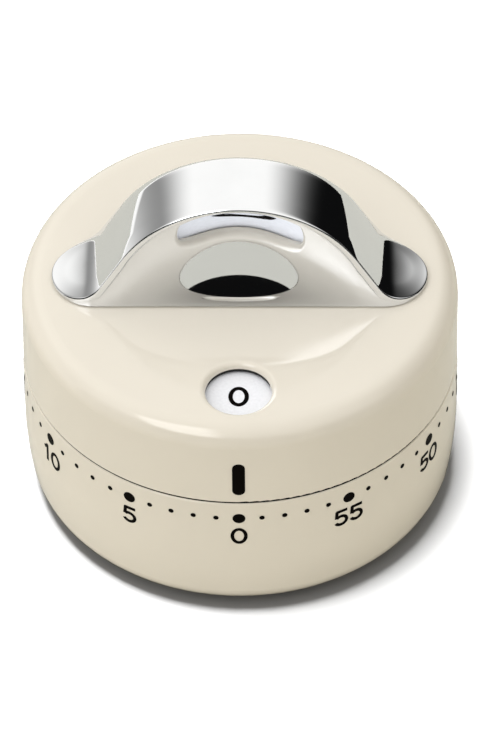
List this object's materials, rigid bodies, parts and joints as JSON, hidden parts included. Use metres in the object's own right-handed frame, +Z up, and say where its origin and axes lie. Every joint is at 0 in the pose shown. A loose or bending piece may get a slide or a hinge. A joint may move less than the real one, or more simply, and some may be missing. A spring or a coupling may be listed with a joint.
{
  "type": "kitchen timer",
  "caption": "Round mechanical kitchen timer: a numbered drum below and a turning cap above with a chromed bell-shaped grip bar, index line and number window.",
  "frame": {"origin": "middle of the underside, on the table, on the axis the cap turns about", "axes": "+Z up along the turning axis; -Y towards the front, where the zero mark, the index and the window are at rest"},
  "size_m": [0.0802, 0.0802, 0.073],
  "materials": {
    "cream": "glossy moulded shell",
    "chrome": "polished chrome plating on a zinc casting",
    "ink": "pad-printed black ink",
    "white": "moulded white",
    "dark_plastic": "textured moulding",
    "rubber": "soft matt pads",
    "steel": "zinc-plated or turned",
    "spring_steel": "blued strip",
    "bell_steel": "nickel-plated",
    "brass": "stamped or turned",
    "light_plastic": "moulded acetal"
  },
  "bodies": {
    "base": {"drum_shell": "cream", "base_cover": "dark_plastic", "base_screws": "steel", "rubber_feet": "rubber", "dial_dots": "ink", "dial_numerals": "ink", "lower_plate": "steel", "upper_plate": "steel", "plate_pillars": "steel", "pillar_screws": "steel", "movement_screws": "steel", "bell": "bell_steel", "bell_post": "steel", "bell_rivets": "steel", "bell_screw": "steel", "mainspring": "spring_steel", "spring_post": "steel", "number_disc": "white", "disc_numerals": "ink", "disc_posts": "brass", "disc_screws": "steel", "thrust_washer": "brass", "stop_post": "steel", "hammer_pivot": "steel"},
    "cap": {"top_cap": "cream", "grip": "chrome", "grip_screws": "steel", "index_mark": "ink", "main_arbor": "steel", "hub_clip": "steel", "stop_pin": "steel", "main_wheel": "brass", "ratchet_wheel": "steel", "click": "steel", "click_spring": "steel", "click_rivet": "steel"},
    "second": {"second_arbor": "steel", "second_wheel": "brass"},
    "third": {"third_arbor": "steel", "third_wheel": "brass"},
    "escape": {"escape_arbor": "steel", "escape_wheel": "light_plastic"},
    "balance": {"balance_staff": "steel", "pallet_anchor": "light_plastic", "balance_wheel": "brass"},
    "hammer": {"hammer_arm": "steel", "hammer_head": "brass"}
  },
  "joints": [
    {"name": "cap_turn", "type": "hinge", "parent": "base", "child": "cap", "pos_m": [0, 0, 0.03], "axis": [0, 0, -1], "range_deg": [0, 354], "stiffness_Nm_per_rad": 0.006, "deforming": ["mainspring"]},
    {"name": "second_spin", "type": "hinge", "parent": "base", "child": "second", "pos_m": [0, 0.02106, 0.024], "axis": [0, 0, -1], "range_deg": [-2200, 60]},
    {"name": "third_spin", "type": "hinge", "parent": "base", "child": "third", "pos_m": [-0.01358, 0.0161, 0.024], "axis": [0, 0, -1], "range_deg": [-60, 10700]},
    {"name": "escape_spin", "type": "hinge", "parent": "base", "child": "escape", "pos_m": [-0.02036, 0.0054, 0.024], "axis": [0, 0, -1], "range_deg": [-53200, 60]},
    {"name": "balance_swing", "type": "hinge", "parent": "base", "child": "balance", "pos_m": [-0.02072, -0.00379, 0.024], "axis": [0, 0, 1], "range_deg": [-12, 12]},
    {"name": "hammer_swing", "type": "hinge", "parent": "base", "child": "hammer", "pos_m": [0.01566, -0.01739, 0.0148], "axis": [0, 0, 1], "range_deg": [0, 9], "stiffness_Nm_per_rad": 0.001}
  ],
  "couplings": [
    {"joint": "second_spin", "follows": "cap_turn", "ratio": -6},
    {"joint": "third_spin", "follows": "cap_turn", "ratio": 30},
    {"joint": "escape_spin", "follows": "cap_turn", "ratio": -150}
  ]
}
